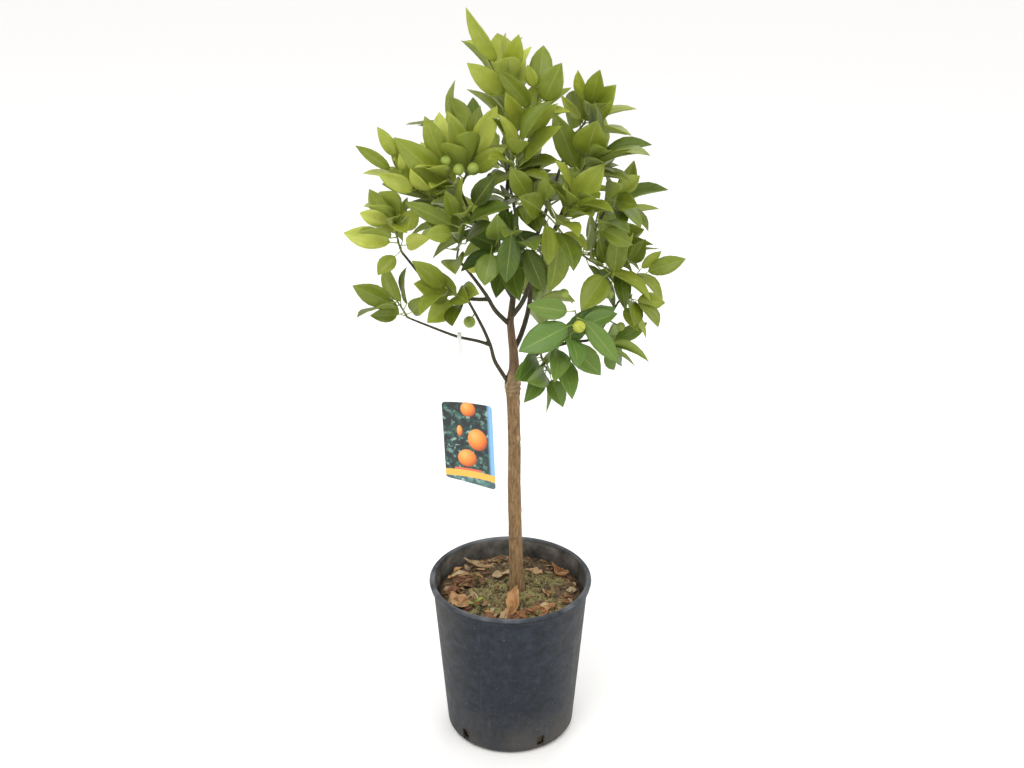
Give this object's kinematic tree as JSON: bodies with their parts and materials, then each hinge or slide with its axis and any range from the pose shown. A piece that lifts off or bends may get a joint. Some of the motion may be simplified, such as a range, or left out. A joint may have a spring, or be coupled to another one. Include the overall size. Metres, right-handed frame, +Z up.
{
  "type": "potted mandarin tree",
  "caption": "Young citrus tree on a single bare stem with a leafy crown and small green fruits, growing in a round nursery pot with a hanging picture label.",
  "frame": {"origin": "middle of the pot's flat underside", "axes": "+Z up along the stem, -Y toward the front, where the label hangs left of the stem"},
  "size_m": [0.415, 0.3789, 1.01],
  "materials": {
    "pot": "matte",
    "soil": "matte",
    "bark": "matte",
    "leaf": "satin",
    "fruit": "satin",
    "dry_leaf": "matte",
    "card": "gloss"
  },
  "bodies": {
    "root": {"branch_back": "bark", "branch_left_long": "bark", "branch_left_low": "bark", "branch_left_mid": "bark", "branch_left_reach": "bark", "branch_left_up": "bark", "branch_right_back": "bark", "branch_right_low": "bark", "branch_right_mid": "bark", "branch_right_up": "bark", "fallen_leaf_back_left": "dry_leaf", "fallen_leaf_back_right": "dry_leaf", "fallen_leaf_folded": "dry_leaf", "fallen_leaf_front": "dry_leaf", "fallen_leaf_left": "dry_leaf", "fallen_leaf_left_front": "dry_leaf", "fruit_cluster_left": "fruit", "fruit_cluster_middle": "fruit", "fruit_cluster_right": "fruit", "fruit_left_hanging": "fruit", "fruit_right_lower": "fruit", "fruit_right_small": "fruit", "fruit_right_upper": "fruit", "fruit_yellow": "fruit", "fruit_yellow_green": "fruit", "label": "card", "leaves_centre": "leaf", "leaves_far_left": "leaf", "leaves_front_low": "leaf", "leaves_high_front": "leaf", "leaves_left_cluster": "leaf", "leaves_low_back": "leaf", "leaves_low_hang": "leaf", "leaves_low_left": "leaf", "leaves_low_left_front": "leaf", "leaves_low_right_front": "leaf", "leaves_low_right_side": "leaf", "leaves_mid_back": "leaf", "leaves_mid_back_left": "leaf", "leaves_mid_back_right": "leaf", "leaves_mid_front": "leaf", "leaves_mid_left": "leaf", "leaves_mid_right": "leaf", "leaves_right_high": "leaf", "leaves_right_out": "leaf", "leaves_right_tip_low": "leaf", "leaves_top_back": "leaf", "leaves_top_lead": "leaf", "leaves_top_mid": "leaf", "leaves_top_right": "leaf", "leaves_upper_back_left": "leaf", "leaves_upper_back_right": "leaf", "leaves_upper_front": "leaf", "leaves_upper_left": "leaf", "leaves_upper_left_out": "leaf", "leaves_upper_right": "leaf", "pot": "pot", "seedling": "leaf", "soil": "soil", "trunk": "bark"}
  },
  "joints": []
}
